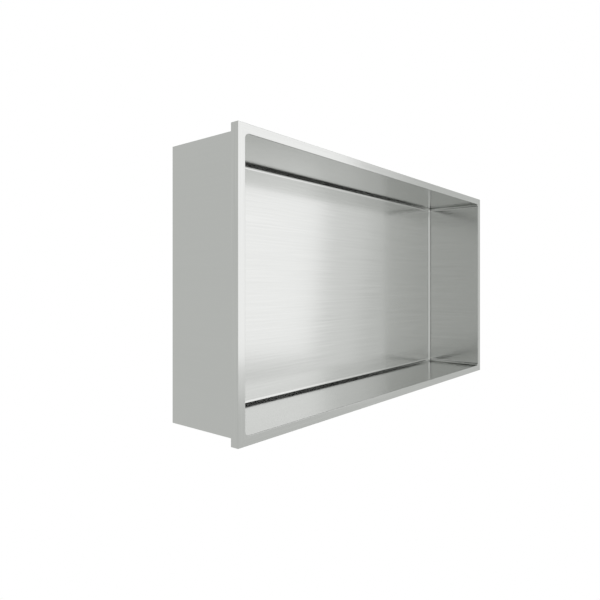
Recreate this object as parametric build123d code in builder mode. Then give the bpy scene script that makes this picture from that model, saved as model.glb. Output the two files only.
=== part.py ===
from build123d import *
import os

# Recessed wall niche of brushed stainless sheet, in millimetres.
# X runs along the wall, Y into the wall and Z up.
# The origin is the middle of the frame's rear rim, in the plane of the wall that it seats on.

# Tub: the space for bottles, coved along every inner edge
opening_width = 600.0
opening_height = 300.0
tub_depth = 100.0
tub_bend = 5.5
tub_sheet = 1.0

# Face frame: a flat face and a return folded back to the wall
frame_face = 10.0
frame_depth = 10.0
frame_edge = 0.3
mouth_bend = 0.5

# Casing: the outer skin that goes into the wall, clear of the tub all round
side_gap = 2.2
back_gap = 10.2
casing_sheet = 0.8
casing_edge = 0.3

# Sizes that follow from those
frame_width = opening_width + 2 * frame_face
frame_height = opening_height + 2 * frame_face
return_width = frame_width - 2 * tub_sheet
return_height = frame_height - 2 * tub_sheet
casing_inner_width = opening_width + 2 * (tub_sheet + side_gap)
casing_inner_height = opening_height + 2 * (tub_sheet + side_gap)
casing_inner_depth = tub_depth + back_gap
casing_width = casing_inner_width + 2 * casing_sheet
casing_height = casing_inner_height + 2 * casing_sheet
casing_depth = casing_inner_depth + casing_sheet

# The frame's face, seen as a sketch plane that extrudes into the wall
face_plane = Plane(origin=(0, -frame_depth, 0), x_dir=(-1, 0, 0), z_dir=(0, 1, 0))
behind_face = face_plane.offset(tub_sheet)

os.makedirs("parts", exist_ok=True)


# Tub skin: its inside with rounded edges, shelled outwards and open at the mouth
with BuildPart() as tub:
    with BuildSketch(face_plane):
        Rectangle(opening_width, opening_height)
    extrude(amount=tub_depth)
    mouth = tub.faces().sort_by(Axis.Y)[0]
    fillet(tub.edges() - mouth.edges(), radius=tub_bend)
    offset(amount=tub_sheet, openings=tub.faces().sort_by(Axis.Y)[0], kind=Kind.ARC)

# Casing skin: a box with crisp welded edges, open towards the frame
with BuildPart() as casing:
    with BuildSketch(behind_face):
        Rectangle(casing_width, casing_height)
    extrude(amount=casing_depth)
    front = casing.faces().sort_by(Axis.Y)[0]
    fillet(casing.edges() - front.edges(), radius=casing_edge)
    with BuildSketch(behind_face):
        Rectangle(casing_inner_width, casing_inner_height)
    extrude(amount=casing_inner_depth, mode=Mode.SUBTRACT)

# Whole niche: the frame, with both skins welded to the back of its face
with BuildPart() as niche_box:
    with BuildSketch(face_plane):
        Rectangle(frame_width, frame_height)
    extrude(amount=frame_depth)
    outer_face = niche_box.faces().sort_by(Axis.Y)[0]
    fillet(outer_face.edges() + niche_box.edges().filter_by(Axis.Y), radius=frame_edge)
    with BuildSketch(behind_face):
        Rectangle(return_width, return_height)
    extrude(amount=frame_depth - tub_sheet, mode=Mode.SUBTRACT)
    with BuildSketch(face_plane):
        RectangleRounded(opening_width, opening_height, tub_bend)
    extrude(amount=tub_sheet, mode=Mode.SUBTRACT)
    add(tub.part)
    add(casing.part)
    frame_front = niche_box.faces().sort_by(Axis.Y)[0]
    fillet(frame_front.inner_wires()[0].edges(), radius=mouth_bend)

niche_box.part.label = "niche_box"
export_step(niche_box.part, "parts/niche_box.step")
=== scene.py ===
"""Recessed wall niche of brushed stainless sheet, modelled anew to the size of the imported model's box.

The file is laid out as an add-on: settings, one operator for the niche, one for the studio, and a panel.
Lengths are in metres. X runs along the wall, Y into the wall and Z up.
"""

import math

import bmesh
import bpy
from bpy.props import (
    FloatProperty,
    FloatVectorProperty,
    IntProperty,
    PointerProperty,
)
from mathutils import Matrix, Vector


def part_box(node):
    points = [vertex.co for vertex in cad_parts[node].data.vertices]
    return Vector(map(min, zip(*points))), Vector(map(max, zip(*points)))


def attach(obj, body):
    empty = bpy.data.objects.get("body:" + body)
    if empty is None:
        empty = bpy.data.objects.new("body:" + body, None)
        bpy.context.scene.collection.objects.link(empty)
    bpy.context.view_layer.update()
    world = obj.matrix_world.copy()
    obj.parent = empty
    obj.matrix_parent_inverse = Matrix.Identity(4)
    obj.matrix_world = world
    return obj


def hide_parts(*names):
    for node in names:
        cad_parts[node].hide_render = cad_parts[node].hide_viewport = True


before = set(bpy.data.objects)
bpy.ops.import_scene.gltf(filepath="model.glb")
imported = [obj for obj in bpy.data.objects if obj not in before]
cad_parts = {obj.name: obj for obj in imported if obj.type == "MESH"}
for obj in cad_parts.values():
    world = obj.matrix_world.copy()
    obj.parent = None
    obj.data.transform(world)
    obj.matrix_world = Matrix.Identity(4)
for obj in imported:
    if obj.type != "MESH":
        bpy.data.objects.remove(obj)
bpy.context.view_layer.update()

bl_info = {
    "name": "Stainless Wall Niche",
    "version": (1, 0, 0),
    "blender": (4, 5, 0),
    "location": "View3D > Sidebar > Niche",
    "description": "Builds a brushed stainless wall niche and the studio that shows it",
    "category": "Add Mesh",
}

NICHE_NODE = "niche_box"
NICHE_BODY = "root"
NICHE_PIECE = "niche_shell"
STEEL_SLOT = "brushed_stainless"
GRAIN_MAP = "grain"
BRUSHED_SHARE = "brushed"

# Mixing shares of the finer and the broader brushing, and the part of the noise's range that is used
SCRATCH_SHARE = 0.35
BAND_SHARE = 0.18
NOISE_DETAIL = 2.0
NOISE_LOW = 0.3
NOISE_HIGH = 0.7
HALF_WAY = 0.5

# Tolerances and limits for telling faces and edges apart
SAME_PLANE = 1e-6
WALL_PLANE = 0.0
UPRIGHT_LIMIT = 0.7
SHARP_ANGLE = math.radians(50.0)

# Round bends that keep the material beside them, and half the side of a unit square
ROUND_PROFILE = 0.5
SAME_MATERIAL = -1
HALF_SIDE = 0.5

FLAT_FACE_WEIGHT = 100
SENSOR_WIDTH = 36.0
QUARTER_TURN = math.radians(90.0)

ALONG_WALL = Vector((1.0, 0.0, 0.0))
INTO_WALL = Vector((0.0, 1.0, 0.0))
UPWARD = Vector((0.0, 0.0, 1.0))

niche_low, niche_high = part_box(NICHE_NODE)


class NicheSizes(bpy.types.PropertyGroup):
    """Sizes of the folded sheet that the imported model's outer box doesn't give."""

    frame_face: FloatProperty(
        name="Frame Face",
        description="Width of the flat face round the mouth",
        default=0.010,
        unit="LENGTH",
    )
    tub_depth: FloatProperty(
        name="Tub Depth",
        description="Depth of the tub behind the frame's face",
        default=0.100,
        unit="LENGTH",
    )
    tub_bend: FloatProperty(
        name="Tub Bend",
        description="Radius of the coves along the tub's inner edges",
        default=0.0055,
        unit="LENGTH",
    )
    mouth_bend: FloatProperty(
        name="Mouth Bend",
        description="Radius over which the tub turns out into the frame",
        default=0.0005,
        unit="LENGTH",
    )
    sheet: FloatProperty(
        name="Sheet",
        description="Thickness of the frame's sheet",
        default=0.001,
        unit="LENGTH",
    )
    casing_step: FloatProperty(
        name="Casing Step",
        description="How far the casing stands in from the frame's outer edge",
        default=0.006,
        unit="LENGTH",
    )
    casing_edge: FloatProperty(
        name="Casing Edge",
        description="Radius of the casing's outer edges",
        default=0.0003,
        unit="LENGTH",
    )
    frame_edge: FloatProperty(
        name="Frame Edge",
        description="Radius of the frame's outer edges",
        default=0.0003,
        unit="LENGTH",
    )
    cove_segments: IntProperty(
        name="Cove Segments",
        description="Faces round a quarter turn of a cove",
        default=16,
        min=2,
    )
    fold_segments: IntProperty(
        name="Fold Segments",
        description="Faces round a quarter turn of a small fold",
        default=5,
        min=2,
    )


class SteelFinish(bpy.types.PropertyGroup):
    """Colour and brushing of the stainless sheet."""

    colour: FloatVectorProperty(
        name="Steel",
        description="Mean colour of the steel's reflection",
        default=(0.700, 0.708, 0.695),
        subtype="COLOR",
        min=0.0,
        max=1.0,
    )
    contrast: FloatProperty(
        name="Contrast",
        description="Share by which the brushing lightens and darkens the steel",
        default=0.055,
        min=0.0,
        max=1.0,
        subtype="FACTOR",
    )
    casing_brushed: FloatProperty(
        name="Casing Brushed",
        description="How strongly the brushing shows on the casing, which goes into the wall",
        default=0.2,
        min=0.0,
        max=1.0,
        subtype="FACTOR",
    )
    roughness: FloatProperty(
        name="Roughness",
        description="Mean roughness of the brushed face",
        default=0.15,
        min=0.0,
        max=1.0,
        subtype="FACTOR",
    )
    roughness_spread: FloatProperty(
        name="Roughness Spread",
        description="How far the roughness goes above and below its mean along the brushing",
        default=0.03,
        min=0.0,
        max=1.0,
        subtype="FACTOR",
    )
    anisotropy: FloatProperty(
        name="Anisotropy",
        description="How much more a reflection spreads across the grain than along it",
        default=0.3,
        min=0.0,
        max=1.0,
        subtype="FACTOR",
    )
    scratch_size: FloatVectorProperty(
        name="Scratches",
        description="Width and length of the fine scratches",
        default=(0.0004, 0.045),
        size=2,
        unit="LENGTH",
        precision=5,
    )
    streak_size: FloatVectorProperty(
        name="Streaks",
        description="Width and length of the streaks that show from a step away",
        default=(0.0020, 0.140),
        size=2,
        unit="LENGTH",
        precision=5,
    )
    band_size: FloatVectorProperty(
        name="Bands",
        description="Width and length of the broad bands left by the brush's passes",
        default=(0.014, 0.700),
        size=2,
        unit="LENGTH",
        precision=5,
    )
    patch_size: FloatVectorProperty(
        name="Patches",
        description="Width and length of the patches in which the brushing is stronger",
        default=(0.035, 0.180),
        size=2,
        unit="LENGTH",
        precision=5,
    )
    patch_low: FloatProperty(
        name="Patch Low",
        description="Share of the brushing that is left between the patches",
        default=0.35,
        min=0.0,
        max=1.0,
        subtype="FACTOR",
    )
    scratch_depth: FloatProperty(
        name="Scratch Depth",
        description="Height of the fine scratches in the bump",
        default=0.000002,
        unit="LENGTH",
        precision=6,
    )


class StudioSetup(bpy.types.PropertyGroup):
    """Camera, lamps and surroundings. Turns go from straight in front of the niche towards +X."""

    camera_place: FloatVectorProperty(
        name="Camera Place",
        description="Where the camera stands",
        default=(-0.6663, -0.3881, -0.0001),
        subtype="TRANSLATION",
        unit="LENGTH",
    )
    camera_turn: FloatProperty(
        name="Camera Turn",
        description="How far the level camera is turned from facing the wall towards +X",
        default=math.radians(50.73),
        subtype="ANGLE",
    )
    camera_lens: FloatProperty(
        name="Lens",
        description="Focal length on the sensor",
        default=31.764,
        unit="CAMERA",
    )
    camera_shift: FloatVectorProperty(
        name="Lens Shift",
        description="Shift of the lens across and up, as shares of the frame",
        default=(-0.01167, -0.02523),
        size=2,
    )
    room_light: FloatProperty(
        name="Room Light",
        description="Brightness of the room all round",
        default=0.63,
        min=0.0,
    )
    room_colour: FloatVectorProperty(
        name="Room Colour",
        description="Tint of the room's light",
        default=(0.988, 1.0, 0.980),
        subtype="COLOR",
        min=0.0,
        max=1.0,
    )
    softbox_light: FloatProperty(
        name="Softbox Light",
        description="Brightness that the softbox's face adds to the room",
        default=0.385,
        min=0.0,
    )
    softbox_colour: FloatVectorProperty(
        name="Softbox Colour",
        description="Tint of the softbox, its glow and the strip lamp",
        default=(0.990, 0.970, 1.0),
        subtype="COLOR",
        min=0.0,
        max=1.0,
    )
    softbox_turn: FloatProperty(
        name="Softbox Turn",
        description="Direction of the softbox",
        default=math.radians(29.0),
        subtype="ANGLE",
    )
    softbox_rise: FloatProperty(
        name="Softbox Rise",
        description="How far the softbox stands above level",
        default=math.radians(12.3),
        subtype="ANGLE",
    )
    lamp_distance: FloatProperty(
        name="Lamp Distance",
        description="From the niche to the softbox, its glow and the strip lamp",
        default=2.4,
        unit="LENGTH",
    )
    softbox_size: FloatVectorProperty(
        name="Softbox Size",
        description="Width and height of the softbox",
        default=(2.17, 2.07),
        size=2,
        unit="LENGTH",
    )
    glow_light: FloatProperty(
        name="Glow Light",
        description="Brightness of the softer glow round the softbox",
        default=0.18,
        min=0.0,
    )
    glow_turn: FloatProperty(
        name="Glow Turn",
        description="Direction of the glow's middle",
        default=math.radians(33.2),
        subtype="ANGLE",
    )
    glow_rise: FloatProperty(
        name="Glow Rise",
        description="How far the glow's middle lies above level",
        default=math.radians(13.8),
        subtype="ANGLE",
    )
    glow_size: FloatVectorProperty(
        name="Glow Size",
        description="Width and height of the glow",
        default=(2.42, 2.66),
        size=2,
        unit="LENGTH",
    )
    strip_light: FloatProperty(
        name="Strip Light",
        description="Brightness that the strip lamp's face adds to the room",
        default=0.20,
        min=0.0,
    )
    strip_turn: FloatProperty(
        name="Strip Turn",
        description="Direction of the upright strip lamp",
        default=math.radians(-54.4),
        subtype="ANGLE",
    )
    strip_rise: FloatProperty(
        name="Strip Rise",
        description="How far the strip lamp stands above level",
        default=math.radians(2.2),
        subtype="ANGLE",
    )
    strip_size: FloatVectorProperty(
        name="Strip Size",
        description="Width and height of the strip lamp",
        default=(0.36, 1.14),
        size=2,
        unit="LENGTH",
    )
    # Painted shade: the dark flags are seen only in the steel, where their reflection paints the dark lines
    # along the niche's coves.
    flag_distance: FloatProperty(
        name="Flag Distance",
        description="From the niche to the long dark flags, which lie along the wall above and below it",
        default=1.9,
        unit="LENGTH",
    )
    high_flag_rise: FloatProperty(
        name="High Flag Rise",
        description="How far above level the upper flags begin. They end straight above",
        default=math.radians(48.0),
        subtype="ANGLE",
    )
    low_flag_drop: FloatProperty(
        name="Low Flag Drop",
        description="How far below level the lower flags begin. They end straight below",
        default=math.radians(50.0),
        subtype="ANGLE",
    )
    right_flag_ends: FloatVectorProperty(
        name="Right Flag Ends",
        description="Where the right-hand flags begin and end along the wall",
        default=(1.2, 3.4),
        size=2,
        unit="LENGTH",
    )
    left_flag_ends: FloatVectorProperty(
        name="Left Flag Ends",
        description="Where the left-hand flags begin and end along the wall",
        default=(-4.2, -1.45),
        size=2,
        unit="LENGTH",
    )
    # Painted shade: the upright dark card is seen only in the steel, where its reflection paints shade on
    # the walls that mirror it.
    level_card_turn: FloatProperty(
        name="Level Card Turn",
        description="Direction of the upright dark card at the left",
        default=math.radians(-80.0),
        subtype="ANGLE",
    )
    level_card_size: FloatVectorProperty(
        name="Level Card Size",
        description="Width and height of the upright dark card",
        default=(0.46, 1.90),
        size=2,
        unit="LENGTH",
    )
    level_card_distance: FloatProperty(
        name="Level Card Distance",
        description="From the niche to the upright dark card",
        default=2.3,
        unit="LENGTH",
    )
    # Painted shade: colour of the dark flags and card that only the steel reflects.
    painted_shade_colour: FloatVectorProperty(
        name="Painted Shade",
        description="Colour of the dark flags and of the upright card",
        default=(0.02, 0.02, 0.02),
        subtype="COLOR",
        min=0.0,
        max=1.0,
    )
    floor_colour: FloatVectorProperty(
        name="Floor",
        description="Colour of the floor and of the backdrop's matt white",
        default=(0.92, 0.92, 0.92),
        subtype="COLOR",
        min=0.0,
        max=1.0,
    )
    floor_drop: FloatProperty(
        name="Floor Drop",
        description="How far the floor lies below the niche's middle",
        default=2.10,
        unit="LENGTH",
    )
    floor_size: FloatVectorProperty(
        name="Floor Size",
        description="Width and length of the floor",
        default=(8.0, 8.0),
        size=2,
        unit="LENGTH",
    )
    backdrop_distance: FloatProperty(
        name="Backdrop Distance",
        description="From the camera to the backdrop, along the view",
        default=1.75,
        unit="LENGTH",
    )
    backdrop_size: FloatVectorProperty(
        name="Backdrop Size",
        description="Width and height of the white backdrop",
        default=(2.6, 2.3),
        size=2,
        unit="LENGTH",
    )


# Niche skin


def face_towards(skin, direction):
    """The face that looks most nearly along a direction."""
    return max(skin.faces, key=lambda face: face.normal.dot(direction))


def edges_at(face):
    """A face's own edges, and the edges that run away from its corners."""
    return list({edge for corner in face.verts for edge in corner.link_edges})


def shrink(skin, face, margin):
    """Leaves a flat ring of even width round a face, and returns the face inside it."""
    bmesh.ops.inset_individual(skin, faces=[face], thickness=margin, use_even_offset=True)
    return face


def push(skin, face, distance):
    """Moves a face along its own normal on straight walls, and returns it."""
    reach = face.normal * distance
    pushed = bmesh.ops.extrude_discrete_faces(skin, faces=[face])["faces"][0]
    bmesh.ops.translate(skin, vec=reach, verts=pushed.verts)
    return pushed


def round_edges(skin, edges, radius, segments):
    """Turns edges into round bends."""
    bmesh.ops.bevel(
        skin,
        geom=edges,
        offset=radius,
        offset_type="OFFSET",
        segments=segments,
        profile=ROUND_PROFILE,
        affect="EDGES",
        material=SAME_MATERIAL,
    )


def mouth_edges(skin, plane_y):
    """The edges where the tub's walls meet the frame's face."""
    found = []
    for edge in skin.edges:
        in_face = all(abs(corner.co.y - plane_y) < SAME_PLANE for corner in edge.verts)
        sides = [abs(face.normal.y) for face in edge.link_faces]
        if in_face and min(sides) < UPRIGHT_LIMIT < max(sides):
            found.append(edge)
    return found


def niche_skin(sizes):
    """The frame's block, with the tub pushed into its face and the casing drawn out of its back."""
    middle = (niche_low + niche_high) / 2
    frame_depth = -niche_low.y
    skin = bmesh.new()
    bmesh.ops.create_cube(skin, size=1.0)
    block = Vector((niche_high.x - niche_low.x, frame_depth, niche_high.z - niche_low.z))
    bmesh.ops.scale(skin, vec=block, verts=skin.verts)
    bmesh.ops.translate(skin, vec=(middle.x, -frame_depth / 2, middle.z), verts=skin.verts)
    skin.normal_update()

    frame_front = face_towards(skin, -INTO_WALL)
    frame_rear = face_towards(skin, INTO_WALL)
    frame_edges = edges_at(frame_front)

    groove_depth = frame_depth - sizes.sheet
    rear_inside = shrink(skin, frame_rear, sizes.sheet)
    groove_floor = push(skin, rear_inside, -groove_depth)
    casing_root = shrink(skin, groove_floor, sizes.casing_step - sizes.sheet)
    casing_back = push(skin, casing_root, groove_depth + niche_high.y)

    mouth = shrink(skin, frame_front, sizes.frame_face)
    tub_back = push(skin, mouth, -sizes.tub_depth)

    round_edges(skin, edges_at(casing_back), sizes.casing_edge, sizes.fold_segments)
    round_edges(skin, frame_edges, sizes.frame_edge, sizes.fold_segments)
    round_edges(skin, edges_at(tub_back), sizes.tub_bend, sizes.cove_segments)
    skin.normal_update()
    round_edges(skin, mouth_edges(skin, niche_low.y), sizes.mouth_bend, sizes.fold_segments)
    bmesh.ops.recalc_face_normals(skin, faces=skin.faces)
    return skin


def grain_along(face, rail_inside):
    """The way the brush ran over a face: along each rail of the frame, and level everywhere else."""
    normal = face.normal
    middle = face.calc_center_median()
    side_rail = middle.y <= WALL_PLANE and abs(middle.x) > rail_inside
    if side_rail and abs(normal.z) < UPRIGHT_LIMIT:
        grain = UPWARD
    elif abs(normal.z) < UPRIGHT_LIMIT:
        grain = UPWARD.cross(normal)
    else:
        grain = ALONG_WALL
    return (grain - normal * grain.dot(normal)).normalized()


def lay_grain(skin, rail_inside):
    """A UV map in metres on every face, with U across the brushing and V along it."""
    grain_map = skin.loops.layers.uv.new(GRAIN_MAP)
    for face in skin.faces:
        along = grain_along(face, rail_inside)
        across = face.normal.cross(along)
        for loop in face.loops:
            place = loop.vert.co
            loop[grain_map].uv = (place.dot(across), place.dot(along))


def tub_far_corner(sizes):
    """The tub's far upper corner at the right, on the outside of its sheet."""
    corner = niche_high - Vector((sizes.frame_face, 0.0, sizes.frame_face))
    corner.y = niche_low.y + sizes.tub_depth
    return corner + Vector((sizes.sheet, sizes.sheet, sizes.sheet))


def lay_brushing(skin, tub_high, casing_share):
    """How strongly each face is brushed: fully on the frame and tub, and less on the casing behind them."""
    brushed = skin.faces.layers.float.new(BRUSHED_SHARE)
    for face in skin.faces:
        middle = face.calc_center_median()
        past_tub = [abs(middle.x) > tub_high.x, middle.y > tub_high.y, abs(middle.z) > tub_high.z]
        on_casing = middle.y > WALL_PLANE and any(past_tub)
        face[brushed] = casing_share if on_casing else 1.0


def mark_folds(skin):
    """Smooth shading over the bends, broken at the square corners."""
    for face in skin.faces:
        face.smooth = True
    for edge in skin.edges:
        edge.smooth = edge.calc_face_angle(0.0) < SHARP_ANGLE


# Materials


def add_node(tree, kind, **settings):
    """A new node with its properties set."""
    node = tree.nodes.new(kind)
    for name, value in settings.items():
        setattr(node, name, value)
    return node


def new_material(name):
    """An empty material and its node tree."""
    material = bpy.data.materials.new(name)
    material.use_nodes = True
    material.node_tree.nodes.clear()
    return material, material.node_tree


def streaks(tree, grain, size):
    """Noise drawn out along the grain and stretched to its full range, from 0 to 1."""
    width, length = size
    stretch = add_node(tree, "ShaderNodeMapping")
    stretch.inputs["Scale"].default_value = (1.0 / width, 1.0 / length, 1.0)
    noise = add_node(tree, "ShaderNodeTexNoise", noise_dimensions="2D")
    noise.inputs["Scale"].default_value = 1.0
    noise.inputs["Detail"].default_value = NOISE_DETAIL
    level = add_node(tree, "ShaderNodeMapRange")
    level.inputs["From Min"].default_value = NOISE_LOW
    level.inputs["From Max"].default_value = NOISE_HIGH
    tree.links.new(grain.outputs["UV"], stretch.inputs["Vector"])
    tree.links.new(stretch.outputs["Vector"], noise.inputs["Vector"])
    tree.links.new(noise.outputs["Fac"], level.inputs["Value"])
    return level.outputs["Result"]


def blend(tree, first, second, share):
    """Two patterns mixed, with a share of the second."""
    mix = add_node(tree, "ShaderNodeMix", data_type="FLOAT")
    mix.inputs["Factor"].default_value = share
    tree.links.new(first, mix.inputs["A"])
    tree.links.new(second, mix.inputs["B"])
    return mix.outputs["Result"]


def brushing_share(tree, grain, finish):
    """How strongly the brushing shows: by face, and in patches that run along the grain."""
    face_share = add_node(tree, "ShaderNodeAttribute", attribute_name=BRUSHED_SHARE)
    patches = add_node(tree, "ShaderNodeMapRange")
    patches.inputs["To Min"].default_value = finish.patch_low
    share = add_node(tree, "ShaderNodeMath", operation="MULTIPLY")
    tree.links.new(streaks(tree, grain, finish.patch_size), patches.inputs["Value"])
    tree.links.new(face_share.outputs["Fac"], share.inputs[0])
    tree.links.new(patches.outputs["Result"], share.inputs[1])
    return share.outputs["Value"]


def faded(tree, pattern, share):
    """A pattern drawn towards its middle where its share is small."""
    mix = add_node(tree, "ShaderNodeMix", data_type="FLOAT")
    mix.inputs["A"].default_value = HALF_WAY
    tree.links.new(share, mix.inputs["Factor"])
    tree.links.new(pattern, mix.inputs["B"])
    return mix.outputs["Result"]


def brushed_stainless(finish):
    """Stainless sheet whose scratches, streaks and bands follow the grain map."""
    material, tree = new_material(STEEL_SLOT)
    output = add_node(tree, "ShaderNodeOutputMaterial")
    steel = add_node(tree, "ShaderNodeBsdfPrincipled")
    steel.inputs["Metallic"].default_value = 1.0
    steel.inputs["Anisotropic"].default_value = finish.anisotropy
    grain = add_node(tree, "ShaderNodeUVMap", uv_map=GRAIN_MAP)
    across = add_node(tree, "ShaderNodeTangent", direction_type="UV_MAP", uv_map=GRAIN_MAP)

    scratches = streaks(tree, grain, finish.scratch_size)
    visible = blend(tree, streaks(tree, grain, finish.streak_size), scratches, SCRATCH_SHARE)
    bands = streaks(tree, grain, finish.band_size)
    share = brushing_share(tree, grain, finish)
    brushing = faded(tree, blend(tree, visible, bands, BAND_SHARE), share)

    tint = add_node(tree, "ShaderNodeMix", data_type="RGBA")
    tint.inputs["A"].default_value = (*[(1.0 - finish.contrast) * c for c in finish.colour], 1.0)
    tint.inputs["B"].default_value = (*[(1.0 + finish.contrast) * c for c in finish.colour], 1.0)
    tree.links.new(brushing, tint.inputs["Factor"])
    tree.links.new(tint.outputs["Result"], steel.inputs["Base Color"])

    gloss = add_node(tree, "ShaderNodeMapRange")
    gloss.inputs["To Min"].default_value = finish.roughness - finish.roughness_spread
    gloss.inputs["To Max"].default_value = finish.roughness + finish.roughness_spread
    tree.links.new(brushing, gloss.inputs["Value"])
    tree.links.new(gloss.outputs["Result"], steel.inputs["Roughness"])

    bump = add_node(tree, "ShaderNodeBump")
    bump.inputs["Strength"].default_value = 1.0
    bump.inputs["Distance"].default_value = finish.scratch_depth
    tree.links.new(faded(tree, scratches, share), bump.inputs["Height"])
    tree.links.new(bump.outputs["Normal"], steel.inputs["Normal"])

    tree.links.new(across.outputs["Tangent"], steel.inputs["Tangent"])
    tree.links.new(steel.outputs["BSDF"], output.inputs["Surface"])
    return material


def matt_card(name, colour):
    """A plain matt surface of the studio."""
    material, tree = new_material(name)
    output = add_node(tree, "ShaderNodeOutputMaterial")
    card = add_node(tree, "ShaderNodeBsdfDiffuse")
    card.inputs["Color"].default_value = (*colour, 1.0)
    tree.links.new(card.outputs["BSDF"], output.inputs["Surface"])
    return material


def white_card(name, colour):
    """A matt surface that shows as pure white, seen straight, through glass or in metal."""
    material, tree = new_material(name)
    output = add_node(tree, "ShaderNodeOutputMaterial")
    matt = add_node(tree, "ShaderNodeBsdfDiffuse")
    matt.inputs["Color"].default_value = (*colour, 1.0)
    white = add_node(tree, "ShaderNodeEmission")
    rays = add_node(tree, "ShaderNodeLightPath")
    direct = add_node(tree, "ShaderNodeMath", operation="MAXIMUM")
    seen = add_node(tree, "ShaderNodeMath", operation="MAXIMUM")
    choice = add_node(tree, "ShaderNodeMixShader")
    tree.links.new(rays.outputs["Is Camera Ray"], direct.inputs[0])
    tree.links.new(rays.outputs["Is Transmission Ray"], direct.inputs[1])
    tree.links.new(direct.outputs["Value"], seen.inputs[0])
    tree.links.new(rays.outputs["Is Glossy Ray"], seen.inputs[1])
    tree.links.new(seen.outputs["Value"], choice.inputs["Fac"])
    tree.links.new(matt.outputs["BSDF"], choice.inputs[1])
    tree.links.new(white.outputs["Emission"], choice.inputs[2])
    tree.links.new(choice.outputs["Shader"], output.inputs["Surface"])
    return material


# Studio


def stage_card(name, size, place, facing, material):
    """A flat rectangle of the studio, turned to face a direction."""
    width, height = size
    card = bmesh.new()
    bmesh.ops.create_grid(card, x_segments=1, y_segments=1, size=HALF_SIDE)
    bmesh.ops.scale(card, vec=(width, height, 1.0), verts=card.verts)
    turn = facing.to_track_quat("Z", "Y").to_matrix().to_4x4()
    bmesh.ops.transform(card, matrix=Matrix.Translation(place) @ turn, verts=card.verts)
    mesh = bpy.data.meshes.new(name)
    card.to_mesh(mesh)
    card.free()
    mesh.materials.append(material)
    sheet = bpy.data.objects.new(name, mesh)
    bpy.context.scene.collection.objects.link(sheet)
    return sheet


def only_reflected(card):
    """Keeps a card out of direct view and out of the lamps' way."""
    card.visible_camera = False
    card.visible_diffuse = False
    card.visible_shadow = False


def round_niche(turn, rise, distance):
    """A point round the niche: turned from straight in front towards +X, and raised above level."""
    level = distance * math.cos(rise)
    return Vector((level * math.sin(turn), -level * math.cos(turn), distance * math.sin(rise)))


def painted_shade_flag(name, ends, rise, distance, material):
    """A long dark card along the wall that only the steel sees, so that its reflection paints shade along
    the niche's coves.

    It spans the angle from a rise to straight above, or from a negative rise to straight below.
    """
    start, end = ends
    straight = math.copysign(QUARTER_TURN, rise)
    middle_rise = (rise + straight) / 2
    height = 2 * distance * math.tan(abs(straight - rise) / 2)
    place = round_niche(0.0, middle_rise, distance)
    facing = -place
    place.x = (start + end) / 2
    flag = stage_card(name, (end - start, height), place, facing, material)
    only_reflected(flag)


def area_lamp(name, size, place, brightness, colour):
    """A rectangular lamp that faces the niche, with a given brightness on its face."""
    width, height = size
    light = bpy.data.lights.new(name, "AREA")
    light.shape = "RECTANGLE"
    light.size = width
    light.size_y = height
    light.color = colour
    light.energy = brightness * math.pi * width * height
    lamp = bpy.data.objects.new(name, light)
    turn = (-place).to_track_quat("-Z", "Y").to_matrix().to_4x4()
    lamp.matrix_world = Matrix.Translation(place) @ turn
    lamp.visible_camera = False
    bpy.context.scene.collection.objects.link(lamp)


def room(brightness, colour):
    """An evenly lit pale room."""
    world = bpy.data.worlds.new("room")
    world.use_nodes = True
    tree = world.node_tree
    tree.nodes.clear()
    output = add_node(tree, "ShaderNodeOutputWorld")
    air = add_node(tree, "ShaderNodeBackground")
    air.inputs["Strength"].default_value = brightness
    air.inputs["Color"].default_value = (*colour, 1.0)
    tree.links.new(air.outputs["Background"], output.inputs["Surface"])
    bpy.context.scene.world = world


def camera(setup):
    """A level camera with the photograph's view."""
    data = bpy.data.cameras.new("camera")
    data.sensor_width = SENSOR_WIDTH
    data.lens = setup.camera_lens
    data.shift_x, data.shift_y = setup.camera_shift
    viewer = bpy.data.objects.new("camera", data)
    viewer.location = setup.camera_place
    viewer.rotation_euler = (QUARTER_TURN, 0.0, -setup.camera_turn)
    bpy.context.scene.collection.objects.link(viewer)
    bpy.context.scene.camera = viewer


# Operators and panel


class NICHE_OT_build_niche(bpy.types.Operator):
    """Models the niche as one skin of brushed sheet, with every bend round"""

    bl_idname = "niche.build_niche"
    bl_label = "Niche"
    bl_options = {"REGISTER", "UNDO"}

    def execute(self, context):
        sizes = context.scene.niche_sizes
        finish = context.scene.niche_finish
        skin = niche_skin(sizes)
        if not all(edge.is_manifold for edge in skin.edges):
            raise RuntimeError("the niche's skin isn't closed")
        mark_folds(skin)
        lay_grain(skin, niche_high.x - sizes.frame_face)
        lay_brushing(skin, tub_far_corner(sizes), finish.casing_brushed)
        mesh = bpy.data.meshes.new(NICHE_PIECE)
        skin.to_mesh(mesh)
        skin.free()
        mesh.materials.append(brushed_stainless(finish))
        niche = bpy.data.objects.new(NICHE_PIECE, mesh)
        context.scene.collection.objects.link(niche)
        flats = niche.modifiers.new("flat faces", "WEIGHTED_NORMAL")
        flats.mode = "FACE_AREA"
        flats.weight = FLAT_FACE_WEIGHT
        flats.keep_sharp = True
        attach(niche, NICHE_BODY)
        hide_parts(NICHE_NODE)
        return {"FINISHED"}


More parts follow.
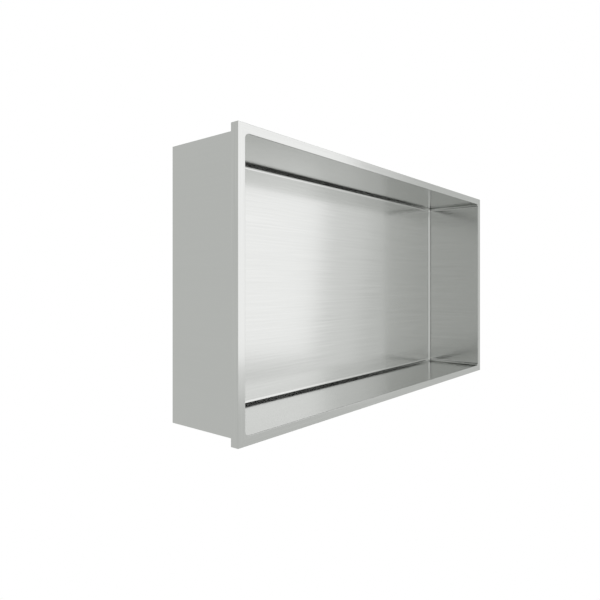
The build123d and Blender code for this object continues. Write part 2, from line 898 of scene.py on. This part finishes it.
class NICHE_OT_set_studio(bpy.types.Operator):
    """Sets the camera, floor, backdrop, lamps, and the dark cards whose reflections paint shade in the
    steel
    """

    bl_idname = "niche.set_studio"
    bl_label = "Studio"
    bl_options = {"REGISTER", "UNDO"}

    def execute(self, context):
        setup = context.scene.niche_studio
        context.scene.view_settings.view_transform = "Standard"
        room(setup.room_light, setup.room_colour)
        camera(setup)

        floor_place = Vector((0.0, 0.0, -setup.floor_drop))
        stage_card("floor", setup.floor_size, floor_place, UPWARD, matt_card("floor", setup.floor_colour))
        view_line = Vector((math.sin(setup.camera_turn), math.cos(setup.camera_turn), 0.0))
        backdrop_place = Vector(setup.camera_place) + setup.backdrop_distance * view_line
        white = white_card("backdrop", setup.floor_colour)
        stage_card("backdrop", setup.backdrop_size, backdrop_place, -view_line, white)

        # Painted shade: dark cards that only the steel reflects, for the dark lines in its coves.
        dark = matt_card("painted_shade_card", setup.painted_shade_colour)
        for side, ends in (("right", setup.right_flag_ends), ("left", setup.left_flag_ends)):
            painted_shade_flag(f"{side}_high_flag", ends, setup.high_flag_rise, setup.flag_distance, dark)
            painted_shade_flag(f"{side}_low_flag", ends, -setup.low_flag_drop, setup.flag_distance, dark)
        # Painted shade: the upright dark card, seen only in the steel's reflections.
        level_place = round_niche(setup.level_card_turn, 0.0, setup.level_card_distance)
        level_card = stage_card("left_level_card", setup.level_card_size, level_place, -level_place, dark)
        only_reflected(level_card)

        softbox = round_niche(setup.softbox_turn, setup.softbox_rise, setup.lamp_distance)
        glow = round_niche(setup.glow_turn, setup.glow_rise, setup.lamp_distance)
        strip = round_niche(setup.strip_turn, setup.strip_rise, setup.lamp_distance)
        area_lamp("softbox", setup.softbox_size, softbox, setup.softbox_light, setup.softbox_colour)
        area_lamp("glow", setup.glow_size, glow, setup.glow_light, setup.softbox_colour)
        area_lamp("strip", setup.strip_size, strip, setup.strip_light, setup.softbox_colour)
        return {"FINISHED"}


class NICHE_PT_panel(bpy.types.Panel):
    """Builds the niche and its studio"""

    bl_idname = "NICHE_PT_panel"
    bl_label = "Wall Niche"
    bl_space_type = "VIEW_3D"
    bl_region_type = "UI"
    bl_category = "Niche"

    def draw(self, context):
        layout = self.layout
        for group in ("niche_sizes", "niche_finish", "niche_studio"):
            settings = getattr(context.scene, group)
            box = layout.box()
            for name in settings.__annotations__:
                box.prop(settings, name)
        layout.operator(NICHE_OT_build_niche.bl_idname)
        layout.operator(NICHE_OT_set_studio.bl_idname)


CLASSES = (
    NicheSizes,
    SteelFinish,
    StudioSetup,
    NICHE_OT_build_niche,
    NICHE_OT_set_studio,
    NICHE_PT_panel,
)


def register():
    """Adds the settings, the operators and the panel."""
    for cls in CLASSES:
        bpy.utils.register_class(cls)
    bpy.types.Scene.niche_sizes = PointerProperty(type=NicheSizes)
    bpy.types.Scene.niche_finish = PointerProperty(type=SteelFinish)
    bpy.types.Scene.niche_studio = PointerProperty(type=StudioSetup)


def unregister():
    """Takes away what register added."""
    del bpy.types.Scene.niche_studio
    del bpy.types.Scene.niche_finish
    del bpy.types.Scene.niche_sizes
    for cls in reversed(CLASSES):
        bpy.utils.unregister_class(cls)


def main():
    """Builds the niche and its studio."""
    register()
    bpy.ops.niche.build_niche()
    bpy.ops.niche.set_studio()


if __name__ == "__main__":
    main()
